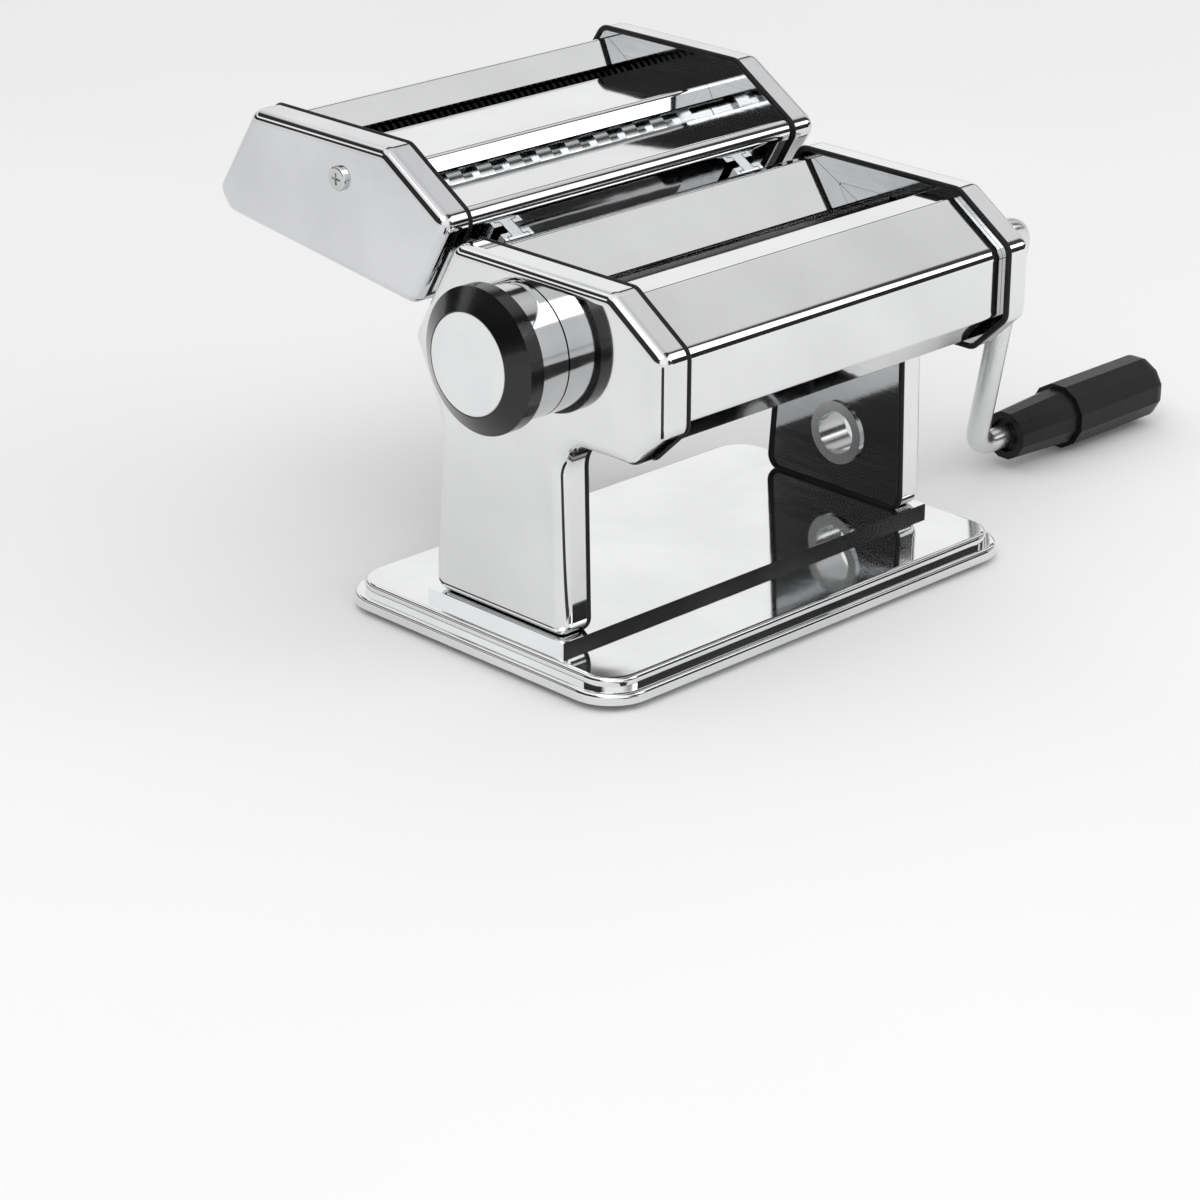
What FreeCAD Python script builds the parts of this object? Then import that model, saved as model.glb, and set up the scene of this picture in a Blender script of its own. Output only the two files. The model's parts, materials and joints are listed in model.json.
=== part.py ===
"""Hand-cranked pasta roller machine with a lift-off cutter, one solid or group of solids per sub-part.

Millimetres. X runs along the rollers with the crank at +X, the front of the machine is -Y, Z is up.
The machine is drawn about the middle of its base, and written with the origin on the table under the
middle of its box.
"""
import FreeCAD, Part
import math
import os

V = FreeCAD.Vector
X_AXIS = V(1, 0, 0)

# Sheet metal and fits
PLATE_SHEET = 1.2
COVER_SHEET = 1.0
FRAME_SHEET = 2.0
PLATE_EDGE_RADIUS = 4.0
PAN_DEPTH = 11.0
PAN_FIT = 0.2
RUN_FIT = 0.06
SCREW_FIT = 0.05
SIDE_PLAY = 0.2
SEAT_PLAY = 0.1
FREE_GAP = 0.3

# Base
FOOT_STANDOUT = 2.5
BASE_TOP_Z = 10.0
BASE_STEP_Z = 6.2
BASE_END_MARGIN = 10.9
BASE_DEPTH = 126.0
BASE_CORNER = 15.0
BASE_STEP_IN = 3.5
BASE_EDGE_RADIUS = 1.6
PLATEAU_RISE = 3.0
PLATEAU_EDGE = 0.8
FOOT_RADIUS = 8.0
FOOT_INSET = 14.0

# Body outline, seen from the end
PLATE_FACE_X = 83.6
BODY_TOP_Z = 129.1
BODY_TOP_FRONT_Y = -50.6
BODY_FRONT_Y = -72.7
BODY_FRONT_TOP_Z = 114.2
BODY_FRONT_LOW_Z = 90.2
BODY_CHIN_Y = -59.4
BODY_CHIN_Z = 77.4
LEG_FRONT_NECK_Y = -29.9
LEG_FRONT_Y = -31.5
LEG_REAR_Y = 28.5
NECK_REAR_Y = 24.0
NECK_REAR_Z = 70.0
TAIL_Y = 36.4
TAIL_Z = 96.0
SLIDE_TILT = 30.0
CORNER_RADIUS = 5.0
FRONT_NECK_RADIUS = 10.0
REAR_NECK_RADIUS = 24.0
COVER_INSET = 3.0
COVER_BEND = 2.0
FRONT_BEND = 5.0
COVER_RETURN = 10.0
LEDGE_REAR_Y = -38.0
FRONT_GUIDE_LOW = (-35.6, 116.4)
REAR_GUIDE_TOP_Y = 12.0
REAR_GUIDE_LOW = (-8.0, 115.6)

# Rollers, gap adjuster and crank
CRANK_AXIS_Y = -37.4
ROLLER_AXIS_Z = 103.2
KNOB_AXIS_Y = -12.5
ROLLER_RADIUS = 11.7
JOURNAL_RADIUS = 8.0
ROLLER_BORE = 5.9
ECCENTRICITY = 1.33
ECCENTRIC_REST = 70.0
ECCENTRIC_RADIUS = 5.5
YOKE_PLAY = 0.3
ADJUSTER_RADIUS = 4.0
GEAR_X = 76.3
GEAR_WIDTH = 3.2
YOKE_X = 79.9
YOKE_SHEET = 1.6
ROLLER_TEETH = 10
ROLLER_GEAR_MODULE = 2.35
GEAR_BACKLASH = 0.5
PRESSURE_ANGLE = 22.0
POST_RADIUS = 2.0
POST_ORBIT = 16.8
POST_ANGLE = 60.0
BUSH_WALL = 2.5
TIE_ROD_RADIUS = 3.0
TIE_RODS = ((-59.2, 103.2), (14.0, 104.0))
SCRAPER_SHEET = 0.8
SCRAPER_DEPTH = 22.0

# Knob
KNOB_SLEEVE_RADIUS = 21.5
KNOB_RING_RADIUS = 23.0
KNOB_CAP_RADIUS = 16.0
KNOB_STANDOUT = 21.2
KNOB_RING_LENGTH = 9.5
KNOB_WALL = 2.0
KNOB_LIFT = 4.0
KNOB_BEVEL = 4.3
SPRING_WIRE = 0.6
SPRING_COIL_RADIUS = 6.0
SPRING_TURNS = 5
INDEX_HOLES = 9
INDEX_HOLE_RADIUS = 1.3
INDEX_ORBIT = 15.0
INDEX_RING_RADIUS = 17.5
INDEX_RING_SHEET = 1.5

# Crank
ROD_RADIUS = 4.0
CRANK_HUB_REACH = 38.0
CRANK_REACH = 55.0
CRANK_RADIUS = 95.0
CRANK_REST_ANGLE = 17.8
CRANK_BEND = 9.0
SOCKET_DEPTH = 20.0
TONGUE_LENGTH = 5.0
TONGUE_THICK = 3.0
TONGUE_WIDTH = 6.4
DRIVE_RADIUS = 6.5
COLLAR_RADIUS = 8.6
COLLAR_STANDOUT = 1.6
COLLAR_LIP = 1.0
GRIP_LENGTH = 79.0
GRIP_STEP = 29.0
GRIP_NECK_WIDTH = 17.0
GRIP_STEP_WIDTH = 20.0
GRIP_WIDTH = 23.0
GRIP_FACETS = 12
GRIP_END_ROUND = 6.0
GRIP_END_STEPS = 4
GRIP_RECESS = 2.0
GRIP_RECESS_RADIUS = 6.0
GRIP_STANDOFF = 7.0
SPINDLE_RADIUS = 3.0
SPINDLE_HEAD_RADIUS = 4.6
SPINDLE_HEAD = 2.0

# Screws and ferrule
SCREW_RADIUS = 2.0
SCREW_HEAD_RADIUS = 4.0
SCREW_HEAD = 1.6
END_SCREW_Y = 6.8
END_SCREW_Z = 92.4
FERRULE_Y = -2.5
FERRULE_Z = 33.6
FERRULE_BORE = 7.5
FERRULE_RADIUS = 9.5
FERRULE_RIM_RADIUS = 11.0
FERRULE_RIM = 1.0
LEG_SCREW_RADIUS = 1.5
LEG_SCREW_HEAD_RADIUS = 2.6
LEG_SCREW_HEAD = 1.4
LEG_SCREW_INSET = 12.0
NUT_HEIGHT = 2.4

# Cutter attachment
CUTTER_TOP_Z = 152.4
CUTTER_TOP_FRONT_Y = 47.6
CUTTER_TOP_REAR_Y = 111.0
CUTTER_GAP = 4.0
CUTTER_NOSE_RISE = 42.0
CUTTER_CHIN_RISE = 7.5
CUTTER_HEEL_Y = 125.0
CUTTER_HEEL_Z = 115.4
CUTTER_TAIL_Y = 130.6
CUTTER_TAIL_Z = 122.6
WIDE_AXIS_Y = 46.7
WIDE_AXIS_Z = 125.3
NARROW_AXIS_Y = 87.0
NARROW_AXIS_Z = 130.6
CUTTER_TILT = 7.5
CUTTER_CENTRES = 16.8
DISC_RADIUS = 9.0
CORE_RADIUS = 7.3
WIDE_PITCH = 13.0
NARROW_PITCH = 3.0
DISC_PLAY = 0.2
CUTTER_JOURNAL = 5.4
CUTTER_BUSH_WALL = 2.0
CUTTER_TEETH = 12
CUTTER_SCREW_Y = 68.6
CUTTER_SCREW_Z = 138.8
BRIDGE_TOP_Z = 141.4
BRIDGE_FRONT_Y = 60.6
BRIDGE_REAR_Y = 91.0
BRIDGE_LIP_ANGLE = 120.0
CUTTER_GUIDE_LOW = (98.6, 142.4)
CUTTER_NOSE_INSET = 0.6
CUTTER_LIP = 5.0
CUTTER_RETURN = 4.5
CUTTER_RODS = ((75.2, 118.0), (118.0, 126.0))
COMB_BAR_HEIGHT = 3.0
COMB_BAR_DEPTH = 6.0
RAIL_X = 52.0
RAIL_WIDTH = 12.0
RAIL_DEPTH = 6.0
RAIL_LENGTH = 26.0
RAIL_FOOT = 6.0
RAIL_WALL = 1.5
RAIL_MOUTH = 5.0

# Places worked out from the sizes above
FRAME_IN_X = PLATE_FACE_X - PAN_DEPTH
FRAME_OUT_X = FRAME_IN_X + FRAME_SHEET
PAN_IN_X = PLATE_FACE_X - PLATE_SHEET
LEG_FOOT_Z = BASE_TOP_Z + PLATEAU_RISE
ECCENTRIC_Y = ECCENTRICITY * math.sin(math.radians(ECCENTRIC_REST))
ECCENTRIC_Z = ECCENTRICITY * math.cos(math.radians(ECCENTRIC_REST))
REAR_AXIS_Y = KNOB_AXIS_Y + ECCENTRIC_Y
SLOPE = V(0, -math.sin(math.radians(SLIDE_TILT)), math.cos(math.radians(SLIDE_TILT)))
SLOPE_OUT = V(0, math.cos(math.radians(SLIDE_TILT)), math.sin(math.radians(SLIDE_TILT)))
PAIR_Y = CUTTER_CENTRES * math.cos(math.radians(CUTTER_TILT))
PAIR_Z = CUTTER_CENTRES * math.sin(math.radians(CUTTER_TILT))
CUTTER_GEAR_MODULE = CUTTER_CENTRES / CUTTER_TEETH
ROLLER_HALF = FRAME_IN_X - SIDE_PLAY
BASE_LENGTH = 2 * (PLATE_FACE_X + BASE_END_MARGIN)


def on_slope(rise, out):
    """Point at a distance up the body's rear slope and at a distance out from it, as (y, z)."""
    place = V(0, TAIL_Y, TAIL_Z) + SLOPE * rise + SLOPE_OUT * out
    return place.y, place.z


def tail_slope_y(z):
    """Y of the body's sloping rear edge at height z."""
    return TAIL_Y - (z - TAIL_Z) * math.tan(math.radians(SLIDE_TILT))


BODY_OUTLINE = [
    (tail_slope_y(BODY_TOP_Z), BODY_TOP_Z, CORNER_RADIUS),
    (BODY_TOP_FRONT_Y, BODY_TOP_Z, CORNER_RADIUS),
    (BODY_FRONT_Y, BODY_FRONT_TOP_Z, CORNER_RADIUS),
    (BODY_FRONT_Y, BODY_FRONT_LOW_Z, CORNER_RADIUS),
    (BODY_CHIN_Y, BODY_CHIN_Z, CORNER_RADIUS),
    (LEG_FRONT_NECK_Y, BODY_CHIN_Z, FRONT_NECK_RADIUS),
    (LEG_FRONT_Y, LEG_FOOT_Z, CORNER_RADIUS),
    (LEG_REAR_Y, LEG_FOOT_Z, CORNER_RADIUS),
    (NECK_REAR_Y, NECK_REAR_Z, REAR_NECK_RADIUS),
    (TAIL_Y, TAIL_Z, CORNER_RADIUS),
]
CUTTER_OUTLINE = [
    (CUTTER_TOP_REAR_Y, CUTTER_TOP_Z, CORNER_RADIUS),
    (CUTTER_TOP_FRONT_Y, CUTTER_TOP_Z, CORNER_RADIUS),
    (*on_slope(CUTTER_NOSE_RISE, CUTTER_GAP), CORNER_RADIUS),
    (*on_slope(CUTTER_CHIN_RISE, CUTTER_GAP), CORNER_RADIUS),
    (CUTTER_HEEL_Y, CUTTER_HEEL_Z, CORNER_RADIUS),
    (CUTTER_TAIL_Y, CUTTER_TAIL_Z, CORNER_RADIUS),
]


nodes = {}


def export(name, *solids):
    """Keep one node, a solid or a group of separate solids."""
    nodes[name] = solids[0] if len(solids) == 1 else Part.Compound(list(solids))


def write_nodes():
    """Bring the origin under the middle of the whole box, and write each node."""
    whole = Part.Compound(list(nodes.values())).optimalBoundingBox(False, False)
    shift = V(-whole.Center.x, -whole.Center.y, 0)
    os.makedirs("parts", exist_ok=True)
    for name, shape in nodes.items():
        shape.translate(shift)
        shape.exportStep("parts/%s.step" % name)


def mirrored(shape):
    """The same piece at the other end of the machine."""
    return shape.mirror(V(0, 0, 0), X_AXIS)


def rod(x0, x1, y, z, radius):
    """A round bar along X."""
    return Part.makeCylinder(radius, x1 - x0, V(x0, y, z), X_AXIS)


def tube(x0, x1, y, z, radius, bore):
    """A round bar along X with a bore right through."""
    return rod(x0, x1, y, z, radius).cut(rod(x0, x1, y, z, bore))


def block(x0, x1, y0, y1, z0, z1):
    """A box between two corners."""
    return Part.makeBox(x1 - x0, y1 - y0, z1 - z0, V(x0, y0, z0))


def inset(outline, depth):
    """Move each side of a closed outline inward by depth, keeping its rounded corners concentric."""
    count = len(outline)
    area = 0.0
    for i in range(count):
        area += outline[i - 1][0] * outline[i][1] - outline[i][0] * outline[i - 1][1]
    turn = 1.0 if area > 0 else -1.0
    moved = []
    for i in range(count):
        before, here, after = (V(*outline[k % count][:2], 0) for k in (i - 1, i, i + 1))
        into = (here - before).normalize()
        out = (after - here).normalize()
        normal_in = V(-into.y, into.x, 0) * turn
        normal_out = V(-out.y, out.x, 0) * turn
        bisector = (normal_in + normal_out) * (depth / (1 + normal_in.dot(normal_out)))
        convex = into.cross(out).z * turn > 0
        radius = outline[i][2] - depth if convex else outline[i][2] + depth
        corner = here + bisector
        moved.append((corner.x, corner.y, radius))
    return moved


def outline_edges(outline, closed=True):
    """Lines and tangent arcs through (y, z, corner radius) points, in the plane X = 0."""
    count = len(outline)
    edges = []
    start = None
    first = None
    for i in range(count):
        here = V(0, outline[i][0], outline[i][1])
        radius = outline[i][2]
        at_end = not closed and i in (0, count - 1)
        if at_end or radius <= 0:
            entry, leave, arc = here, here, None
        else:
            before = V(0, *outline[i - 1][:2])
            after = V(0, *outline[(i + 1) % count][:2])
            to_before = (before - here).normalize()
            to_after = (after - here).normalize()
            half = to_before.getAngle(to_after) / 2
            entry = here + to_before * (radius / math.tan(half))
            leave = here + to_after * (radius / math.tan(half))
            middle = (to_before + to_after).normalize()
            crest = here + middle * (radius / math.sin(half) - radius)
            arc = Part.Arc(entry, crest, leave).toShape()
        if start is not None:
            edges.append(Part.makeLine(start, entry))
        if arc is not None:
            edges.append(arc)
        first = entry if first is None else first
        start = leave
    if closed:
        edges.append(Part.makeLine(start, first))
    return edges


def slab(outline, x0, x1):
    """A closed outline drawn out along X."""
    face = Part.Face(Part.Wire(Part.__sortEdges__(outline_edges(outline))))
    face.translate(V(x0, 0, 0))
    return face.extrude(V(x1 - x0, 0, 0))


def strip_outline(path, thickness):
    """Close an open path of (y, z, radius) points into a sheet of the given thickness on its right side."""
    back = []
    count = len(path)
    for i in range(count):
        here = V(*path[i][:2], 0)
        normals = []
        if i > 0:
            step = (here - V(*path[i - 1][:2], 0)).normalize()
            normals.append(V(step.y, -step.x, 0))
        if i < count - 1:
            step = (V(*path[i + 1][:2], 0) - here).normalize()
            normals.append(V(step.y, -step.x, 0))
        if len(normals) == 1:
            shift = normals[0] * thickness
            radius = 0
        else:
            shift = (normals[0] + normals[1]) * (thickness / (1 + normals[0].dot(normals[1])))
            outer_turn = normals[0].cross(normals[1]).z < 0
            radius = path[i][2] - thickness if outer_turn else path[i][2] + thickness
        back.append((here.x + shift.x, here.y + shift.y, radius))
    return path + back[::-1]


def sheet(path, thickness, x0, x1):
    """A bent sheet along X."""
    return slab(strip_outline(path, thickness), x0, x1)


def pan(outline):
    """Pressed end plate at +X: a face with a rounded edge and a rim turned inward."""
    def rounded(shape_outline, x0, x1, radius):
        solid = slab(shape_outline, x0, x1)
        rim = [e for e in solid.Edges if min(v.X for v in e.Vertexes) > x1 - SEAT_PLAY]
        return solid.makeFillet(radius, rim)
    outer = rounded(outline, FRAME_IN_X, PLATE_FACE_X, PLATE_EDGE_RADIUS)
    hollow = inset(outline, PLATE_SHEET)
    inner = rounded(hollow, FRAME_IN_X - PLATE_SHEET, PAN_IN_X, PLATE_EDGE_RADIUS - PLATE_SHEET)
    return outer.cut(inner)


def rounded_box(length, depth, z0, z1, corner):
    """A box centred on the origin with rounded upright corners."""
    box = block(-length / 2, length / 2, -depth / 2, depth / 2, z0, z1)
    upright = [e for e in box.Edges if abs(e.Vertexes[0].Z - e.Vertexes[-1].Z) > (z1 - z0) / 2]
    return box.makeFillet(corner, upright)


def top_rounded(solid, z, radius):
    """Round the edges of the face at height z."""
    top = [e for e in solid.Edges if min(v.Z for v in e.Vertexes) > z - SEAT_PLAY]
    return solid.makeFillet(radius, top)


def gear(x0, x1, y, z, module, teeth, thinning, turned):
    """Spur gear along X with arc flanks through three points of the involute."""
    pitch = module * teeth / 2
    tip = pitch + module
    root = pitch - module - FREE_GAP
    base = pitch * math.cos(math.radians(PRESSURE_ANGLE))
    involute = math.tan(math.radians(PRESSURE_ANGLE)) - math.radians(PRESSURE_ANGLE)
    half_tooth = math.pi / (2 * teeth) - thinning / (2 * pitch) + involute

    def flank_angle(radius):
        if radius <= base:
            return half_tooth
        pressure = math.acos(base / radius)
        return half_tooth - (math.tan(pressure) - pressure)

    def point(radius, angle):
        return V(0, radius * math.cos(angle), radius * math.sin(angle))

    low = max(root, base)
    edges = []
    last = None
    for i in range(teeth):
        middle = turned + 2 * math.pi * i / teeth
        bottom, mid, top = (flank_angle(r) for r in (low, (low + tip) / 2, tip))
        foot_up = point(root, middle - flank_angle(root))
        foot_down = point(root, middle + flank_angle(root))
        if last is not None:
            edges.append(Part.makeLine(last, foot_up))
        else:
            first = foot_up
        rise = [point(low, middle - bottom), point((low + tip) / 2, middle - mid), point(tip, middle - top)]
        fall = [point(tip, middle + top), point((low + tip) / 2, middle + mid), point(low, middle + bottom)]
        if low > root:
            edges.append(Part.makeLine(foot_up, rise[0]))
        edges.append(Part.Arc(*rise).toShape())
        edges.append(Part.Arc(rise[2], point(tip, middle), fall[0]).toShape())
        edges.append(Part.Arc(*fall).toShape())
        if low > root:
            edges.append(Part.makeLine(fall[2], foot_down))
        last = foot_down
    edges.append(Part.makeLine(last, first))
    face = Part.Face(Part.Wire(edges))
    face.translate(V(x0, y, z))
    return face.extrude(V(x1 - x0, 0, 0))


def drive_socket(x_end, y, z):
    """Hollow for the crank: a round bore with a flat slot for the tongue at its bottom."""
    bore = rod(x_end - SOCKET_DEPTH, x_end, y, z, ROD_RADIUS + RUN_FIT)
    half_thick = TONGUE_THICK / 2 + SEAT_PLAY
    half_width = TONGUE_WIDTH / 2 + SEAT_PLAY
    slot_end = x_end - SOCKET_DEPTH - TONGUE_LENGTH - FREE_GAP
    slot = block(slot_end, x_end - SOCKET_DEPTH, y - half_thick, y + half_thick, z - half_width, z + half_width)
    return bore.fuse(slot)


def screw(x_face, x_end, y, z):
    """Pan-head screw driven inward from +X, with a cross recess."""
    head = rod(x_face, x_face + SCREW_HEAD, y, z, SCREW_HEAD_RADIUS)
    crown = [e for e in head.Edges if min(v.X for v in e.Vertexes) > x_face + SCREW_HEAD / 2]
    head = head.makeFillet(SCREW_HEAD / 2, crown)
    arm = SCREW_HEAD_RADIUS / 2
    wing = SCREW_HEAD / 4
    x0 = x_face + SCREW_HEAD / 2
    x1 = x_face + SCREW_HEAD
    head = head.cut(block(x0, x1, y - arm, y + arm, z - wing, z + wing))
    head = head.cut(block(x0, x1, y - wing, y + wing, z - arm, z + arm))
    return head.fuse(rod(x_end, x_face, y, z, SCREW_RADIUS))


def upright_screw(x, y):
    """Screw and nut that hold a leg's foot to the base, head inside the tray."""
    sheet_low = LEG_FOOT_Z - PLATE_SHEET
    foot_top = LEG_FOOT_Z + PLATE_SHEET
    head = Part.makeCylinder(LEG_SCREW_HEAD_RADIUS, LEG_SCREW_HEAD, V(x, y, sheet_low - LEG_SCREW_HEAD))
    shank = Part.makeCylinder(LEG_SCREW_RADIUS, foot_top - sheet_low, V(x, y, sheet_low))
    nut = Part.makeCylinder(LEG_SCREW_HEAD_RADIUS, NUT_HEIGHT, V(x, y, foot_top))
    return head.fuse([shank, nut])


LEG_SCREW_X = FRAME_OUT_X + LEG_SCREW_HEAD_RADIUS + PAN_FIT
LEG_SCREW_YS = (LEG_FRONT_Y + LEG_SCREW_INSET, LEG_REAR_Y - LEG_SCREW_INSET)


def leg_screw_holes(sign):
    """Holes for the two foot screws of one leg."""
    low = LEG_FOOT_Z - PLATE_SHEET
    high = LEG_FOOT_Z + PLATE_SHEET
    radius = LEG_SCREW_RADIUS + SCREW_FIT
    return [Part.makeCylinder(radius, high - low, V(sign * LEG_SCREW_X, y, low)) for y in LEG_SCREW_YS]


def build_base():
    """Pressed tray with a stepped rim and a plateau, on four rubber feet."""
    plateau_x = PLATE_FACE_X + PLATEAU_EDGE
    plateau_y0 = LEG_FRONT_Y - PLATEAU_EDGE
    plateau_y1 = LEG_REAR_Y + PLATEAU_EDGE

    def tray(shrink, bottom):
        length = BASE_LENGTH - 2 * shrink
        depth = BASE_DEPTH - 2 * shrink
        step = rounded_box(length, depth, bottom, BASE_STEP_Z - shrink, BASE_CORNER - shrink)
        step = top_rounded(step, BASE_STEP_Z - shrink, BASE_EDGE_RADIUS - shrink / 2)
        inner = 2 * BASE_STEP_IN
        deck = rounded_box(length - inner, depth - inner, bottom, BASE_TOP_Z - shrink,
                           BASE_CORNER - BASE_STEP_IN - shrink)
        deck = top_rounded(deck, BASE_TOP_Z - shrink, BASE_EDGE_RADIUS - shrink / 2)
        raised = block(-plateau_x + shrink, plateau_x - shrink, plateau_y0 + shrink, plateau_y1 - shrink,
                       BASE_STEP_Z - shrink, LEG_FOOT_Z - shrink)
        return step.fuse([deck, raised]).removeSplitter()

    base = tray(0, FOOT_STANDOUT).cut(tray(PLATE_SHEET, FOOT_STANDOUT - PLATE_SHEET))
    base = base.cut(leg_screw_holes(1) + leg_screw_holes(-1))
    export("base_plate", base)
    foot_x = BASE_LENGTH / 2 - FOOT_INSET
    foot_y = BASE_DEPTH / 2 - FOOT_INSET
    places = [(sx * foot_x, sy * foot_y) for sx in (-1, 1) for sy in (-1, 1)]
    height = BASE_TOP_Z - PLATE_SHEET
    export("rubber_feet", *[Part.makeCylinder(FOOT_RADIUS, height, V(x, y, 0)) for x, y in places])
    export("base_screws", *[upright_screw(s * LEG_SCREW_X, y) for s in (-1, 1) for y in LEG_SCREW_YS])


SLIDER_FRONT = JOURNAL_RADIUS + BUSH_WALL
POST_Y = POST_ORBIT * math.cos(math.radians(POST_ANGLE))
POST_Z = POST_ORBIT * math.sin(math.radians(POST_ANGLE))
SLIDER_REAR = POST_Y + POST_RADIUS + FREE_GAP
SLIDER_HALF = POST_Z + POST_RADIUS + FREE_GAP
COLLAR_SHANK = COLLAR_RADIUS - COLLAR_LIP
DRIVE_END_X = PLATE_FACE_X + COLLAR_STANDOUT - FREE_GAP
ADJUSTER_BUSH_RADIUS = ADJUSTER_RADIUS + BUSH_WALL
FERRULE_HOLE = FERRULE_RADIUS + SCREW_FIT


def collar(y, z, journal):
    """Bright ring pressed into a right end plate round a drive socket."""
    ring = rod(PLATE_FACE_X, PLATE_FACE_X + COLLAR_STANDOUT, y, z, COLLAR_RADIUS)
    lip = [e for e in ring.Edges if min(v.X for v in e.Vertexes) > PLATE_FACE_X + COLLAR_STANDOUT / 2]
    ring = ring.makeFillet(COLLAR_STANDOUT / 2, lip)
    ring = ring.fuse(rod(PAN_IN_X, PLATE_FACE_X, y, z, COLLAR_SHANK))
    return ring.cut(rod(PAN_IN_X, PLATE_FACE_X + COLLAR_STANDOUT, y, z, journal + SEAT_PLAY))


def build_body_shell():
    """End plates, frame plates, covers and what is fixed to them."""
    screw_hole = rod(FRAME_IN_X, PLATE_FACE_X, END_SCREW_Y, END_SCREW_Z, SCREW_RADIUS + SCREW_FIT)
    ferrule_hole = rod(FRAME_IN_X, PLATE_FACE_X, FERRULE_Y, FERRULE_Z, FERRULE_HOLE)
    collar_hole = rod(PAN_IN_X, PLATE_FACE_X, CRANK_AXIS_Y, ROLLER_AXIS_Z, COLLAR_SHANK + SCREW_FIT)
    bush_hole = rod(PAN_IN_X, PLATE_FACE_X, KNOB_AXIS_Y, ROLLER_AXIS_Z, ADJUSTER_BUSH_RADIUS + SCREW_FIT)
    plate = pan(BODY_OUTLINE).cut(leg_screw_holes(1))
    export("right_end_plate", plate.cut([ferrule_hole, collar_hole, screw_hole]))
    export("left_end_plate", mirrored(plate.cut(bush_hole)))

    travel = 2 * ECCENTRIC_Y
    slot = block(FRAME_IN_X, FRAME_OUT_X, REAR_AXIS_Y - SLIDER_FRONT - travel - FREE_GAP,
                 REAR_AXIS_Y + SLIDER_REAR + FREE_GAP,
                 ROLLER_AXIS_Z - SLIDER_HALF - SEAT_PLAY, ROLLER_AXIS_Z + SLIDER_HALF + SEAT_PLAY)
    front_hole = rod(FRAME_IN_X, FRAME_OUT_X, CRANK_AXIS_Y, ROLLER_AXIS_Z, SLIDER_FRONT + SCREW_FIT)
    frame = slab(inset(BODY_OUTLINE, PLATE_SHEET + PAN_FIT), FRAME_IN_X, FRAME_OUT_X)
    frame = frame.cut([slot, front_hole])
    export("right_frame_plate", frame.cut([ferrule_hole, screw_hole]))
    export("left_frame_plate", mirrored(frame))

    export("end_plate_screw", screw(PLATE_FACE_X, FRAME_IN_X, END_SCREW_Y, END_SCREW_Z))
    export("tie_rods", *[rod(-FRAME_IN_X, FRAME_IN_X, y, z, TIE_ROD_RADIUS) for y, z in TIE_RODS])

    half = FRAME_IN_X - SEAT_PLAY
    line = inset(BODY_OUTLINE, COVER_INSET)
    top_rear, top_front, front_top, front_low, chin = (line[i][:2] for i in range(5))
    tail = line[9][:2]
    bend = COVER_BEND
    front_path = [
        (chin[0] + COVER_RETURN, chin[1], 0),
        (*chin, bend),
        (*front_low, bend),
        (*front_top, FRONT_BEND),
        (*top_front, bend),
        (LEDGE_REAR_Y, top_front[1], bend),
        (*FRONT_GUIDE_LOW, 0),
    ]
    export("front_cover", sheet(front_path, COVER_SHEET, -half, half))
    rear_path = [
        (*REAR_GUIDE_LOW, 0),
        (REAR_GUIDE_TOP_Y, top_rear[1], bend),
        (*top_rear, bend),
        (*tail, bend),
        (tail[0] - COVER_RETURN / 2, tail[1] - COVER_RETURN / 2, 0),
    ]
    export("rear_cover", sheet(rear_path, COVER_SHEET, -half, half))

    top = ROLLER_AXIS_Z - ROLLER_RADIUS - FREE_GAP
    low = top - SCRAPER_SHEET
    export("front_scraper", block(-half, half, CRANK_AXIS_Y - SCRAPER_DEPTH, CRANK_AXIS_Y, low, top))
    rear_edge = KNOB_AXIS_Y + SCRAPER_DEPTH
    export("rear_scraper", block(-half, half, KNOB_AXIS_Y, rear_edge, low, top))

    ferrule = rod(FRAME_IN_X, PLATE_FACE_X, FERRULE_Y, FERRULE_Z, FERRULE_RADIUS)
    inner_rim = rod(FRAME_IN_X - FERRULE_RIM, FRAME_IN_X, FERRULE_Y, FERRULE_Z, FERRULE_RIM_RADIUS)
    outer_rim = rod(PLATE_FACE_X, PLATE_FACE_X + FERRULE_RIM, FERRULE_Y, FERRULE_Z, FERRULE_RIM_RADIUS)
    bore = rod(FRAME_IN_X - FERRULE_RIM, PLATE_FACE_X + FERRULE_RIM, FERRULE_Y, FERRULE_Z, FERRULE_BORE)
    export("clamp_ferrule", ferrule.fuse([inner_rim, outer_rim]).cut(bore))
    export("crank_socket_collar", collar(CRANK_AXIS_Y, ROLLER_AXIS_Z, DRIVE_RADIUS))


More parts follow.
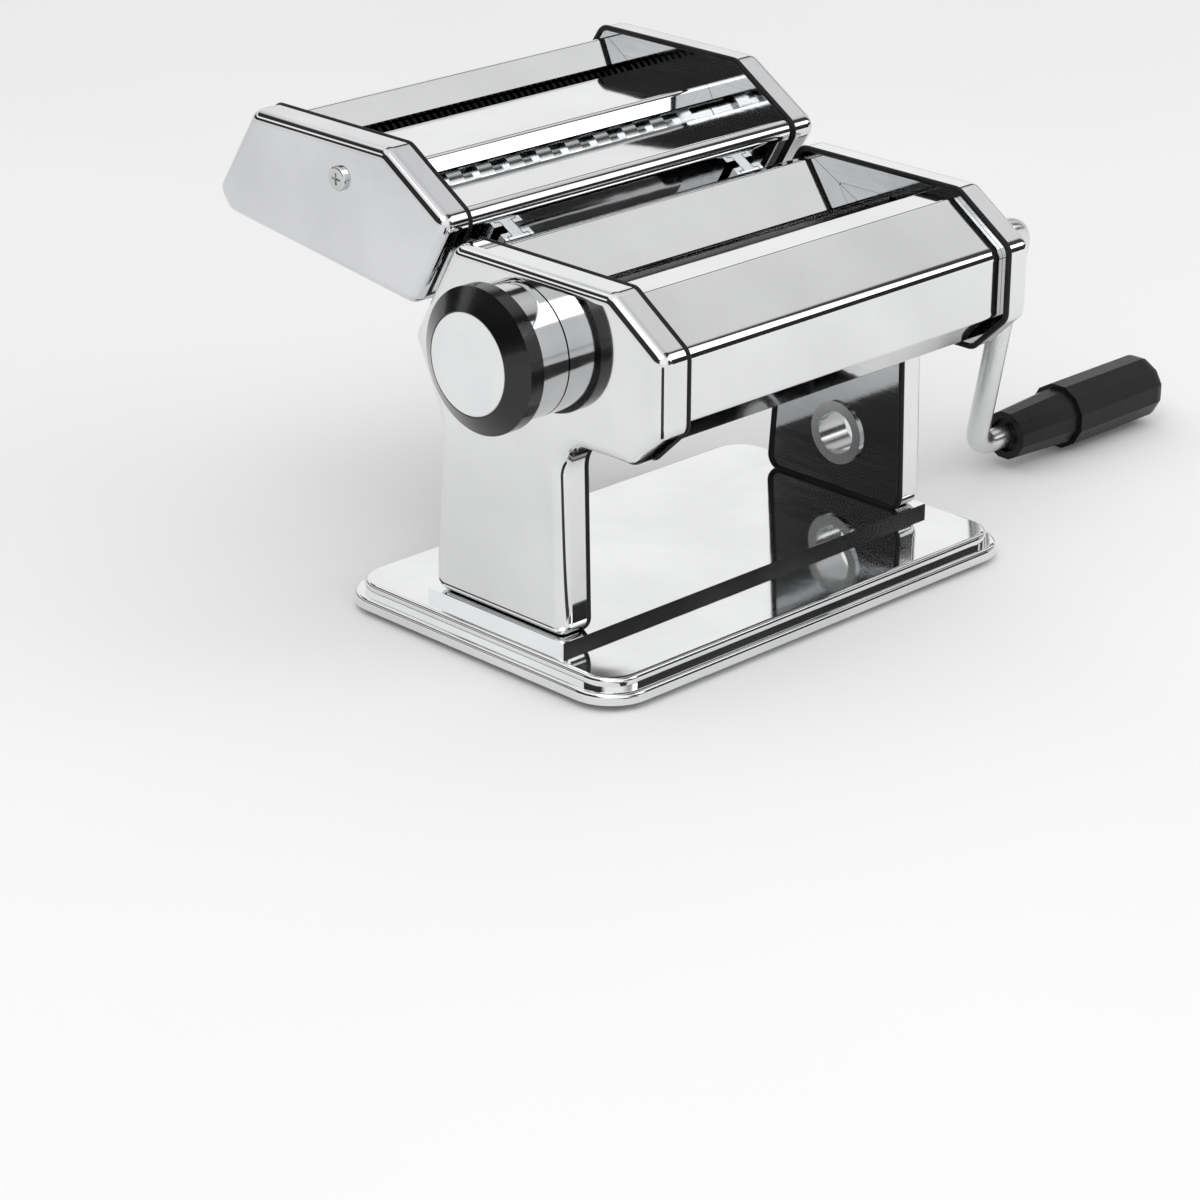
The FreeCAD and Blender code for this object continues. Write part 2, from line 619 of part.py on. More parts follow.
def build_rollers():
    """Front roller on fixed bushes, rear roller on sliding bearings, a gear on each."""
    flange_x = FRAME_OUT_X + COVER_SHEET
    seat = tube(FRAME_IN_X, flange_x, CRANK_AXIS_Y, ROLLER_AXIS_Z, SLIDER_FRONT, JOURNAL_RADIUS + RUN_FIT)
    rim = tube(FRAME_OUT_X, flange_x, CRANK_AXIS_Y, ROLLER_AXIS_Z, SLIDER_FRONT + COVER_SHEET,
               JOURNAL_RADIUS + RUN_FIT)
    bush = seat.fuse(rim).removeSplitter()
    export("front_roller_bushes", bush, mirrored(bush))

    gear_end = GEAR_X + GEAR_WIDTH
    roller = rod(-ROLLER_HALF, ROLLER_HALF, CRANK_AXIS_Y, ROLLER_AXIS_Z, ROLLER_RADIUS)
    journal = rod(-gear_end, gear_end, CRANK_AXIS_Y, ROLLER_AXIS_Z, JOURNAL_RADIUS)
    drive = rod(0, DRIVE_END_X, CRANK_AXIS_Y, ROLLER_AXIS_Z, DRIVE_RADIUS)
    roller = roller.fuse([journal, drive]).cut(drive_socket(DRIVE_END_X, CRANK_AXIS_Y, ROLLER_AXIS_Z))
    export("front_roller", roller)

    roller = rod(-ROLLER_HALF, ROLLER_HALF, REAR_AXIS_Y, ROLLER_AXIS_Z, ROLLER_RADIUS)
    journal = rod(-GEAR_X, gear_end, REAR_AXIS_Y, ROLLER_AXIS_Z, JOURNAL_RADIUS)
    bore = rod(-GEAR_X, gear_end, REAR_AXIS_Y, ROLLER_AXIS_Z, ROLLER_BORE)
    export("rear_roller", roller.fuse(journal).cut(bore))

    for name, axis_y, turned in (("front_roller_gear", CRANK_AXIS_Y, 0.0),
                                 ("rear_roller_gear", REAR_AXIS_Y, math.pi / ROLLER_TEETH)):
        wheel = gear(GEAR_X, gear_end, axis_y, ROLLER_AXIS_Z, ROLLER_GEAR_MODULE, ROLLER_TEETH,
                     GEAR_BACKLASH, turned)
        export(name, wheel.cut(rod(GEAR_X, gear_end, axis_y, ROLLER_AXIS_Z, JOURNAL_RADIUS + SCREW_FIT)))

    y0 = REAR_AXIS_Y - SLIDER_FRONT
    y1 = REAR_AXIS_Y + SLIDER_REAR
    z0 = ROLLER_AXIS_Z - SLIDER_HALF
    z1 = ROLLER_AXIS_Z + SLIDER_HALF
    yoke_end = YOKE_X + YOKE_SHEET
    carrier = block(FRAME_IN_X, FRAME_OUT_X, y0, y1, z0, z1)
    carrier = carrier.cut(rod(FRAME_IN_X, FRAME_OUT_X, REAR_AXIS_Y, ROLLER_AXIS_Z, JOURNAL_RADIUS + RUN_FIT))
    yoke = block(YOKE_X, yoke_end, y0, y1, z0, z1)
    slot_y = ECCENTRIC_RADIUS + YOKE_PLAY
    slot_z = slot_y + ECCENTRICITY
    yoke = yoke.cut(block(YOKE_X, yoke_end, REAR_AXIS_Y - slot_y, REAR_AXIS_Y + slot_y,
                          ROLLER_AXIS_Z - slot_z, ROLLER_AXIS_Z + slot_z))
    posts = [rod(FRAME_OUT_X, YOKE_X, REAR_AXIS_Y + POST_Y, ROLLER_AXIS_Z + s * POST_Z, POST_RADIUS)
             for s in (-1, 1)]
    slider = carrier.fuse(posts + [yoke])
    export("rear_roller_sliders", slider, mirrored(slider))


KNOB_BACK_X = PLATE_FACE_X + FREE_GAP
KNOB_END_X = PLATE_FACE_X + KNOB_STANDOUT
KNOB_RING_X = KNOB_END_X - KNOB_RING_LENGTH
KNOB_WEB_X = KNOB_RING_X + KNOB_WALL
INDEX_RING_END = PLATE_FACE_X + INDEX_RING_SHEET
SPRING_SEAT_X = INDEX_RING_END + FREE_GAP + KNOB_WALL
SHAFT_END_X = KNOB_END_X - KNOB_WALL / 2
SHAFT_HEAD_X = SHAFT_END_X - KNOB_WALL / 2
SPRING_OUTER = SPRING_COIL_RADIUS + SPRING_WIRE
SHAFT_HEAD_RADIUS = SPRING_OUTER + FREE_GAP
POCKET_RADIUS = SHAFT_HEAD_RADIUS + FREE_GAP


def revolved(profile, y, z):
    """Turn a closed (x, radius) profile about an axis along X."""
    corners = [V(x, y + r, z) for x, r in profile]
    face = Part.Face(Part.makePolygon(corners + corners[:1]))
    return face.revolve(V(0, y, z), X_AXIS, 360)


def build_adjuster():
    """Gap adjuster: eccentric shaft, its bushes, the index ring and the pull-out knob, drawn at +X."""
    y, z = KNOB_AXIS_Y, ROLLER_AXIS_Z
    disc_y = y + ECCENTRIC_Y
    disc_z = z + ECCENTRIC_Z
    yoke_end = YOKE_X + YOKE_SHEET
    discs = [rod(YOKE_X, yoke_end, disc_y, disc_z, ECCENTRIC_RADIUS),
             rod(-yoke_end, -YOKE_X, disc_y, disc_z, ECCENTRIC_RADIUS)]
    shaft = rod(-YOKE_X, SHAFT_END_X, y, z, ADJUSTER_RADIUS)
    far_pin = rod(-PAN_IN_X, -YOKE_X, y, z, SPINDLE_RADIUS)
    head = rod(SHAFT_HEAD_X, SHAFT_END_X, y, z, SHAFT_HEAD_RADIUS)
    export("adjuster_shaft", mirrored(shaft.fuse(discs + [far_pin, head])))

    bush_in = yoke_end + FREE_GAP
    near = tube(bush_in, INDEX_RING_END, y, z, ADJUSTER_BUSH_RADIUS, ADJUSTER_RADIUS + RUN_FIT)
    rim = tube(bush_in, PAN_IN_X, y, z, ADJUSTER_BUSH_RADIUS + KNOB_WALL, ADJUSTER_RADIUS + RUN_FIT)
    far = tube(-PAN_IN_X, -bush_in, y, z, ADJUSTER_BUSH_RADIUS + KNOB_WALL, SPINDLE_RADIUS + RUN_FIT)
    export("adjuster_bushes", mirrored(near.fuse(rim).removeSplitter()), mirrored(far))

    ring = tube(PLATE_FACE_X, INDEX_RING_END, y, z, INDEX_RING_RADIUS, ADJUSTER_BUSH_RADIUS + SCREW_FIT)
    step = 2 * ECCENTRIC_REST / (INDEX_HOLES - 1)
    for i in range(INDEX_HOLES):
        angle = math.radians(180 - step * i)
        hole_y = y + INDEX_ORBIT * math.cos(angle)
        hole_z = z + INDEX_ORBIT * math.sin(angle)
        ring = ring.cut(rod(PLATE_FACE_X, INDEX_RING_END, hole_y, hole_z, INDEX_HOLE_RADIUS))
    export("index_ring", mirrored(ring))

    sleeve = tube(KNOB_BACK_X, KNOB_WEB_X, y, z, KNOB_SLEEVE_RADIUS, KNOB_SLEEVE_RADIUS - KNOB_WALL)
    web = tube(KNOB_RING_X, KNOB_WEB_X, y, z, KNOB_SLEEVE_RADIUS, POCKET_RADIUS)
    hub = tube(SPRING_SEAT_X - KNOB_WALL, KNOB_WEB_X, y, z, POCKET_RADIUS + KNOB_WALL, POCKET_RADIUS)
    floor = tube(SPRING_SEAT_X - KNOB_WALL, SPRING_SEAT_X, y, z, POCKET_RADIUS + KNOB_WALL,
                 ADJUSTER_RADIUS + RUN_FIT)
    export("knob_body", mirrored(sleeve.fuse([web, hub, floor]).removeSplitter()))

    seat = KNOB_SLEEVE_RADIUS + SCREW_FIT
    cap_seat = KNOB_CAP_RADIUS + SCREW_FIT
    ring_profile = [
        (KNOB_RING_X, seat),
        (KNOB_RING_X, KNOB_RING_RADIUS),
        (KNOB_END_X - KNOB_BEVEL, KNOB_RING_RADIUS),
        (KNOB_END_X, cap_seat + FREE_GAP),
        (KNOB_END_X, cap_seat),
        (KNOB_WEB_X, cap_seat),
        (KNOB_WEB_X, seat),
    ]
    export("knob_ring", mirrored(revolved(ring_profile, y, z)))

    cap_end = KNOB_END_X + FREE_GAP
    cap = rod(KNOB_WEB_X, cap_end, y, z, KNOB_CAP_RADIUS)
    face_edge = [e for e in cap.Edges if min(v.X for v in e.Vertexes) > cap_end - SEAT_PLAY]
    cap = cap.makeFillet(FREE_GAP * 2, face_edge)
    cap = cap.cut(rod(KNOB_WEB_X, SHAFT_END_X + FREE_GAP, y, z, POCKET_RADIUS))
    export("knob_cap", mirrored(cap))

    pin_tip = INDEX_RING_END + FREE_GAP
    pin = rod(pin_tip, KNOB_RING_X, y - INDEX_ORBIT, z, INDEX_HOLE_RADIUS - SEAT_PLAY)
    export("index_pin", mirrored(pin))

    length = SHAFT_HEAD_X - SPRING_SEAT_X - KNOB_LIFT - FREE_GAP - 2 * SPRING_WIRE
    helix = Part.makeHelix(length / SPRING_TURNS, length, SPRING_COIL_RADIUS)
    wire = Part.Wire(Part.makeCircle(SPRING_WIRE, V(SPRING_COIL_RADIUS, 0, 0), V(0, 1, 0)))
    spring = Part.Wire(helix.Edges).makePipeShell([wire], True, True)
    spring.rotate(V(0, 0, 0), V(0, 1, 0), 90)
    spring.translate(V(SPRING_SEAT_X + SPRING_WIRE + SCREW_FIT, y, z))
    export("knob_spring", mirrored(spring))


ARM_X = PLATE_FACE_X + CRANK_REACH
GRIP_X = ARM_X + CRANK_BEND + GRIP_STANDOFF
GRIP_AXIS_Y = CRANK_AXIS_Y + CRANK_RADIUS * math.sin(math.radians(CRANK_REST_ANGLE))
GRIP_AXIS_Z = ROLLER_AXIS_Z - CRANK_RADIUS * math.cos(math.radians(CRANK_REST_ANGLE))


def bent_rod(points, radius, bend):
    """A round rod along straight runs joined by tangent arcs."""
    edges = []
    start = points[0]
    for i in range(1, len(points) - 1):
        to_before = (points[i - 1] - points[i]).normalize()
        to_after = (points[i + 1] - points[i]).normalize()
        half = to_before.getAngle(to_after) / 2
        entry = points[i] + to_before * (bend / math.tan(half))
        leave = points[i] + to_after * (bend / math.tan(half))
        crest = points[i] + (to_before + to_after).normalize() * (bend / math.sin(half) - bend)
        edges.append(Part.makeLine(start, entry))
        edges.append(Part.Arc(entry, crest, leave).toShape())
        start = leave
    edges.append(Part.makeLine(start, points[-1]))
    heading = points[1] - points[0]
    section = Part.Wire(Part.makeCircle(radius, points[0], heading))
    return Part.Wire(edges).makePipeShell([section], True, True)


def build_crank():
    """Bent crank rod with a tongue for the socket, and the grip that spins on its spindle."""
    tip_x = DRIVE_END_X - SOCKET_DEPTH + FREE_GAP
    y, z = CRANK_AXIS_Y, ROLLER_AXIS_Z
    route = [
        V(tip_x, y, z),
        V(PLATE_FACE_X + CRANK_HUB_REACH, y, z),
        V(ARM_X, GRIP_AXIS_Y, GRIP_AXIS_Z),
        V(GRIP_X - SIDE_PLAY, GRIP_AXIS_Y, GRIP_AXIS_Z),
    ]
    crank = bent_rod(route, ROD_RADIUS, CRANK_BEND)
    half_thick = TONGUE_THICK / 2
    half_width = TONGUE_WIDTH / 2
    tongue = block(tip_x - TONGUE_LENGTH, tip_x, y - half_thick, y + half_thick, z - half_width, z + half_width)
    export("crank_rod", crank.fuse(tongue))

    grip_end = GRIP_X + GRIP_LENGTH
    head_x = grip_end - GRIP_END_ROUND - SPINDLE_HEAD
    spindle = rod(GRIP_X - SIDE_PLAY, head_x, GRIP_AXIS_Y, GRIP_AXIS_Z, SPINDLE_RADIUS)
    head = rod(head_x, head_x + SPINDLE_HEAD, GRIP_AXIS_Y, GRIP_AXIS_Z, SPINDLE_HEAD_RADIUS)
    export("grip_spindle", spindle.fuse(head))

    def facet_ring(x, width):
        radius = width / 2 / math.cos(math.pi / GRIP_FACETS)
        corners = []
        for i in range(GRIP_FACETS + 1):
            angle = 2 * math.pi * (i + 0.5) / GRIP_FACETS
            side = radius * math.cos(angle)
            rise = radius * math.sin(angle)
            corners.append(V(x, GRIP_AXIS_Y + side, GRIP_AXIS_Z + rise))
        return Part.makePolygon(corners)

    step_x = GRIP_X + GRIP_STEP
    neck = [facet_ring(GRIP_X, GRIP_NECK_WIDTH), facet_ring(step_x, GRIP_STEP_WIDTH)]
    cone = Part.makeLoft(neck, True, True)
    body = [facet_ring(step_x, GRIP_WIDTH)]
    for i in range(GRIP_END_STEPS + 1):
        around = math.pi / 2 * i / GRIP_END_STEPS
        back = GRIP_END_ROUND * (1 - math.sin(around))
        shrink = GRIP_END_ROUND * (1 - math.cos(around))
        body.append(facet_ring(grip_end - back, GRIP_WIDTH - 2 * shrink))
    handle = Part.makeLoft(body, True, True)
    bore = rod(GRIP_X, grip_end, GRIP_AXIS_Y, GRIP_AXIS_Z, SPINDLE_RADIUS + RUN_FIT)
    recess = rod(GRIP_X, GRIP_X + GRIP_RECESS, GRIP_AXIS_Y, GRIP_AXIS_Z, GRIP_RECESS_RADIUS)
    well = rod(head_x - SIDE_PLAY, grip_end, GRIP_AXIS_Y, GRIP_AXIS_Z, SPINDLE_HEAD_RADIUS + FREE_GAP)
    export("crank_grip", cone.fuse(handle).cut([bore, recess, well]))


CUTTER_PAIRS = (("wide", WIDE_AXIS_Y, WIDE_AXIS_Z, WIDE_PITCH),
                ("narrow", NARROW_AXIS_Y, NARROW_AXIS_Z, NARROW_PITCH))
CUTTER_GEAR_END = GEAR_X + GEAR_WIDTH
CUTTER_BUSH_RADIUS = CUTTER_JOURNAL + CUTTER_BUSH_WALL


def pair_axes(y, z):
    """Axes of the driven roller and of its mate, as (y, z)."""
    return ((y, z), (y + PAIR_Y, z + PAIR_Z))


def disc_centres(pitch, shift):
    """X places of the cutting discs that fit between the frame plates."""
    reach = int(2 * ROLLER_HALF / pitch) + 1
    centres = [(i + shift) * pitch for i in range(-reach, reach + 1)]
    return [x for x in centres if abs(x) + pitch / 2 < ROLLER_HALF]


def cutter_roller(y, z, pitch, shift, right_end):
    """Comb roller with journals, turned from one stepped profile."""
    half_disc = pitch / 4 - DISC_PLAY
    profile = [(-ROLLER_HALF, CORE_RADIUS)]
    for x in disc_centres(pitch, shift):
        profile += [(x - half_disc, CORE_RADIUS), (x - half_disc, DISC_RADIUS),
                    (x + half_disc, DISC_RADIUS), (x + half_disc, CORE_RADIUS)]
    profile += [(ROLLER_HALF, CORE_RADIUS), (ROLLER_HALF, CUTTER_JOURNAL), (right_end, CUTTER_JOURNAL),
                (right_end, 0), (-FRAME_OUT_X, 0), (-FRAME_OUT_X, CUTTER_JOURNAL),
                (-ROLLER_HALF, CUTTER_JOURNAL)]
    return revolved(profile, y, z)


def comb(y, z, pitch, shift):
    """Stripper bar under a cutting roller with a finger in each groove."""
    top = z - DISC_RADIUS - FREE_GAP
    tip = z - CORE_RADIUS - FREE_GAP
    half = COMB_BAR_DEPTH / 2
    finger = pitch / 4 - DISC_PLAY
    end = FRAME_IN_X - SEAT_PLAY
    bar = block(-end, end, y - half, y + half, top - COMB_BAR_HEIGHT, top)
    fingers = []
    for x in disc_centres(pitch, shift + 0.5):
        fingers.append(block(x - finger, x + finger, y - half / 2, y + half / 2,
                             top - COMB_BAR_HEIGHT / 2, tip))
    return bar.fuse(fingers)


def build_cutter_rollers():
    """Two pairs of cutting rollers with their gears, bushes, combs and socket collars."""
    bushes = []
    collars = []
    tilt = math.radians(CUTTER_TILT)
    for name, pair_y, pair_z, pitch in CUTTER_PAIRS:
        combs = []
        for role, (y, z), shift in zip(("driven", "mate"), pair_axes(pair_y, pair_z), (0.0, 0.5)):
            driven = role == "driven"
            roller = cutter_roller(y, z, pitch, shift, DRIVE_END_X if driven else CUTTER_GEAR_END)
            turned = tilt if driven else tilt + math.pi / CUTTER_TEETH
            if driven:
                roller = roller.cut(drive_socket(DRIVE_END_X, y, z))
                collars.append(collar(y, z, CUTTER_JOURNAL))
            export("%s_%s_cutter" % (name, role), roller)
            wheel = gear(GEAR_X, CUTTER_GEAR_END, y, z, CUTTER_GEAR_MODULE, CUTTER_TEETH,
                         GEAR_BACKLASH / 2, turned)
            bore = rod(GEAR_X, CUTTER_GEAR_END, y, z, CUTTER_JOURNAL + SCREW_FIT)
            export("%s_%s_gear" % (name, role), wheel.cut(bore))
            bush = tube(FRAME_IN_X, FRAME_OUT_X, y, z, CUTTER_BUSH_RADIUS, CUTTER_JOURNAL + RUN_FIT)
            bushes += [bush, mirrored(bush)]
            combs.append(comb(y, z, pitch, shift))
        export("%s_comb" % name, *combs)
    export("cutter_bushes", *bushes)
    export("cutter_socket_collars", *collars)


def slope_placed(shape):
    """Bring a piece drawn with Z up the slope and Y out from it to the body's rear edge."""
    shape.rotate(V(0, 0, 0), X_AXIS, SLIDE_TILT)
    shape.translate(V(0, TAIL_Y, TAIL_Z))
    return shape


def build_cutter_mount():
    """C-section rails on the rear cover and the hooks of the cutter that drop into them."""
    rail_out = RAIL_DEPTH - COVER_INSET
    half = RAIL_WIDTH / 2
    foot = RAIL_FOOT
    head = RAIL_FOOT + RAIL_LENGTH
    seat = foot + RAIL_WALL
    inner_y0 = -COVER_INSET + RAIL_WALL
    inner_y1 = rail_out - RAIL_WALL
    mouth = RAIL_MOUTH / 2
    rails = []
    hooks = []
    for x in (-RAIL_X, RAIL_X):
        rail = block(x - half, x + half, -COVER_INSET, rail_out, foot, head)
        rail = rail.cut(block(x - half + RAIL_WALL, x + half - RAIL_WALL, inner_y0, inner_y1, seat, head))
        rail = rail.cut(block(x - mouth, x + mouth, inner_y1, rail_out, seat, head))
        rails.append(slope_placed(rail))
        play = FREE_GAP
        tongue_half = half - RAIL_WALL - play
        tongue = block(x - tongue_half, x + tongue_half, inner_y0 + play, inner_y1 - play, seat, head)
        stem = block(x - mouth + play, x + mouth - play, inner_y1 - play, CUTTER_GAP + CUTTER_NOSE_INSET,
                     seat, head)
        hooks.append(slope_placed(tongue.fuse(stem)))
    export("cutter_rails", *rails)
    export("cutter_hooks", *hooks)


def build_cutter_shell():
    """End plates, frame plates and covers of the cutter."""
    screw_hole = rod(FRAME_IN_X, PLATE_FACE_X, CUTTER_SCREW_Y, CUTTER_SCREW_Z, SCREW_RADIUS + SCREW_FIT)
    axes = [axis for _, y, z, _ in CUTTER_PAIRS for axis in pair_axes(y, z)]
    socket_radius = COLLAR_SHANK + SCREW_FIT
    socket_holes = [rod(PAN_IN_X, PLATE_FACE_X, y, z, socket_radius) for _, y, z, _ in CUTTER_PAIRS]
    bush_holes = [rod(FRAME_IN_X, FRAME_OUT_X, y, z, CUTTER_BUSH_RADIUS + SCREW_FIT) for y, z in axes]
    plate = pan(CUTTER_OUTLINE).cut(screw_hole)
    export("cutter_left_end_plate", mirrored(plate))
    export("cutter_right_end_plate", plate.cut(socket_holes))
    frame = slab(inset(CUTTER_OUTLINE, PLATE_SHEET + PAN_FIT), FRAME_IN_X, FRAME_OUT_X)
    frame = frame.cut(bush_holes + [screw_hole])
    export("cutter_right_frame_plate", frame)
    export("cutter_left_frame_plate", mirrored(frame))
    end_screw = screw(PLATE_FACE_X, FRAME_IN_X, CUTTER_SCREW_Y, CUTTER_SCREW_Z)
    export("cutter_screws", end_screw, mirrored(end_screw))
    export("cutter_tie_rods", *[rod(-FRAME_IN_X, FRAME_IN_X, y, z, TIE_ROD_RADIUS) for y, z in CUTTER_RODS])

    half = FRAME_IN_X - SEAT_PLAY
    bend = COVER_BEND
    line = inset(CUTTER_OUTLINE, COVER_INSET)
    top_rear, _, _, _, heel, tail = (point[:2] for point in line)
    _, top_front, nose, chin, _, _ = inset(CUTTER_OUTLINE, CUTTER_NOSE_INSET)
    rise = math.atan2(top_front[1] - nose[1], top_front[0] - nose[0])
    lip = (nose[0] + CUTTER_LIP * math.cos(rise), nose[1] + CUTTER_LIP * math.sin(rise))
    disc_top = DISC_RADIUS + FREE_GAP + COVER_SHEET
    front_path = [
        (chin[0] + CUTTER_RETURN, chin[1] + CUTTER_RETURN * math.tan(math.radians(CUTTER_TILT)), 0),
        chin,
        nose,
        (*lip, bend),
        (WIDE_AXIS_Y, WIDE_AXIS_Z + disc_top, 0),
    ]
    export("cutter_front_cover", sheet(front_path, COVER_SHEET, -half, half))
    mate_y, mate_z = pair_axes(WIDE_AXIS_Y, WIDE_AXIS_Z)[1]
    lip_angle = math.radians(BRIDGE_LIP_ANGLE)
    lip_y = mate_y + (disc_top + FREE_GAP) * math.cos(lip_angle)
    lip_z = mate_z + (disc_top + FREE_GAP) * math.sin(lip_angle)
    bridge_path = [
        (lip_y, lip_z, 0),
        (BRIDGE_FRONT_Y, BRIDGE_TOP_Z, bend),
        (BRIDGE_REAR_Y, BRIDGE_TOP_Z, 0),
    ]
    export("cutter_bridge", sheet(bridge_path, COVER_SHEET, -half, half))
    rear_path = [
        (*CUTTER_GUIDE_LOW, 0),
        (*top_rear, bend),
        (*tail, bend),
        (*heel, bend),
        (heel[0] - COVER_RETURN, heel[1] - COVER_RETURN * math.tan(math.radians(CUTTER_TILT)), 0),
    ]
    export("cutter_rear_cover", sheet(rear_path, COVER_SHEET, -half, half))


build_base()
build_body_shell()
build_rollers()
build_adjuster()
build_crank()
build_cutter_rollers()
build_cutter_mount()
build_cutter_shell()
write_nodes()
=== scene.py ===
import json
import math
import bpy
from mathutils import Matrix, Vector


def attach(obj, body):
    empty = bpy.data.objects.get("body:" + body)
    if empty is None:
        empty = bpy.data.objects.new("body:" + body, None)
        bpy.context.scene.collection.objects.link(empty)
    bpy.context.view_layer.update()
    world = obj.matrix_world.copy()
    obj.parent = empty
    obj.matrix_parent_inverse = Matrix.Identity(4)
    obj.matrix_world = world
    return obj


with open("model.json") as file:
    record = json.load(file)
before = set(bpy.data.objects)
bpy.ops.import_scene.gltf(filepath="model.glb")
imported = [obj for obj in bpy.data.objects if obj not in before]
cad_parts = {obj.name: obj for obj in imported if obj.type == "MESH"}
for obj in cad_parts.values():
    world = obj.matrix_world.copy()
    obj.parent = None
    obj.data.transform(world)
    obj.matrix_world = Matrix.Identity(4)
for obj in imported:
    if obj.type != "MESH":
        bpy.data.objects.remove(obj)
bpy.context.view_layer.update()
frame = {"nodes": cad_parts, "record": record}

# Places in metres, in the frame of the CAD model
MIDDLE = Vector((-0.06425, -0.0283776, 0.0))  # middle of the machine's base
KNOB_AXIS_Y = MIDDLE.y - 0.0125
KNOB_AXIS_Z = 0.1032

# Dark bead along the plates' rims: painted reflection, a black line standing in for the dark line that the
# plating mirrors there
BEAD_RADIUS = 0.001
BEAD_RESOLUTION = 2
BEAD_STEP = 0.0004     # closest spacing of its points
BEAD_DEPTH = 0.4       # share of the way from the rim's outer line to its inner one
RIM_FLAT = 0.00002     # faces within this distance of the rim's end belong to it
PLACE_DIGITS = 6       # points that agree to a micrometre are one point
BEADED_PLATES = (
    ("left_end_plate", "frame"),
    ("right_end_plate", "frame"),
    ("cutter_left_end_plate", "cutter"),
    ("cutter_right_end_plate", "cutter"),
)

# Camera of the photograph's main view, from points fitted on it; its place is from MIDDLE
CAMERA_PLACE = Vector((-0.7995, -0.7724, 0.4646))
CAMERA_YAW = math.radians(44.635)
CAMERA_PITCH = math.radians(-23.009)
CAMERA_ROLL = math.radians(0.257)
CAMERA_LENS = 110.24
CAMERA_SENSOR = 36.0
CAMERA_REACH = 50.0

# Studio: the room's greys over the angle about X in degrees on the right, and over height on the left
FLOOR_SIZE = 12.0
ROOM_STRENGTH = 1.15
PLAIN_GREY = 0.68      # what the camera sees of the room, and what lights matt surfaces
RIGHT_GREYS = (
    (0, 0.25), (8, 0.7), (20, 0.86), (38, 0.9), (45, 0.8), (49, 0.03), (60, 0.03), (64, 0.6), (84, 0.74),
    (98, 0.64), (105, 0.5), (109, 0.05), (134, 0.05), (139, 1.0), (152, 1.0), (157, 0.03), (180, 0.03),
)
LEFT_SIDE_GREYS = ((0.0, 0.9), (0.28, 0.9), (0.3, 0.03), (0.46, 0.03), (0.5, 1.0), (1.0, 0.9))
LEFT_GREYS = (
    (0.0, 0.9), (0.05, 0.9), (0.09, 0.03), (0.3, 0.03), (0.33, 1.0), (0.43, 1.0), (0.46, 0.03), (0.64, 0.03),
    (0.68, 1.0), (1.0, 0.9),
)
FRONT_GREYS = ((0.0, 0.9), (0.3, 1.0), (1.0, 0.9))
SIDE_EDGE = (1.0, 1.06)      # where the left side's own greys set in, as the slope -x / y
SIDE_LEAST_Y = 0.05          # smallest y that the slope is divided by
FRONT_EDGE = (-0.45, -0.25)  # y where the front's greys give way to the left's
RIGHT_EDGE = (-0.15, 0.2)    # x where the left's greys give way to the right's

# Black cards that only mirrors see: their corners, from MIDDLE
CARD_Z = 0.0008
CARDS = (
    ("flag_front_left", ((-0.086, -0.070, CARD_Z), (-0.51, -0.37, CARD_Z), (-0.37, -0.51, CARD_Z),
                         (-0.070, -0.086, CARD_Z))),
    ("flag_back_right", ((0.086, 0.070, CARD_Z), (0.51, 0.37, CARD_Z), (0.37, 0.51, CARD_Z),
                         (0.070, 0.086, CARD_Z))),
    ("flag_front", ((0.07, -0.25, 0.085), (0.42, -0.25, 0.085), (0.42, -0.25, 0.185), (0.07, -0.25, 0.185))),
)

# Soft lamps: name, place and power; the places and the aim are from MIDDLE
LAMPS = (("key", Vector((-0.9, -0.5, 1.3)), 5.5), ("fill", Vector((0.9, -1.1, 0.9)), 3.5))
LAMP_AIM = Vector((0, 0, 0.1))
LAMP_SIZE = 0.9

scene = bpy.context.scene
scene.view_settings.view_transform = "Standard"
scene.view_settings.look = "None"
NODES = frame["nodes"]


def grey(value):
    return (value, value, value)


class Graph:
    """A node tree and the few kinds of node that the materials and the room are made of."""

    def __init__(self, tree):
        self.tree = tree

    def feed(self, socket, value):
        """Link a value from another node, or set a plain one."""
        if isinstance(value, bpy.types.NodeSocket):
            self.tree.links.new(value, socket)
        else:
            socket.default_value = value

    def node(self, kind, **inputs):
        made = self.tree.nodes.new(kind)
        for key, value in inputs.items():
            self.feed(made.inputs[key.replace("_", " ")], value)
        return made

    def joined(self, one, other, how="ADD"):
        made = self.tree.nodes.new("ShaderNodeMath")
        made.operation = how
        for socket, value in zip(made.inputs, (one, other)):
            self.feed(socket, value)
        return made.outputs[0]

    def mixed(self, one, other, share):
        """A share of one value and the rest of another."""
        return self.joined(self.joined(one, share, "MULTIPLY"), self.joined(other, 1 - share, "MULTIPLY"))

    def spread(self, value, low, high, start=0.3, end=0.7):
        made = self.node("ShaderNodeMapRange", Value=value, From_Min=start, From_Max=end,
                         To_Min=low, To_Max=high)
        return made.outputs[0]

    def ramp(self, value, *stops):
        made = self.node("ShaderNodeValToRGB", Fac=value)
        points = made.color_ramp.elements
        while len(points) < len(stops):
            points.new(0.5)
        for point, (place, colour) in zip(points, stops):
            point.position = place
            point.color = (*colour, 1)
        return made.outputs[0]

    def greys(self, value, stops):
        return self.ramp(value, *[(place, grey(shade)) for place, shade in stops])

    def blended(self, share, one, other):
        """From one colour to the other as the share goes from 0 to 1; a plain number is a grey."""
        made = self.tree.nodes.new("ShaderNodeMix")
        made.data_type = "RGBA"
        self.feed(made.inputs["Factor"], share)
        colours = [socket for socket in made.inputs if socket.type == "RGBA"]
        for socket, value in zip(colours, (one, other)):
            plain = isinstance(value, float)
            self.feed(socket, (*grey(value), 1) if plain else value)
        return next(socket for socket in made.outputs if socket.type == "RGBA")


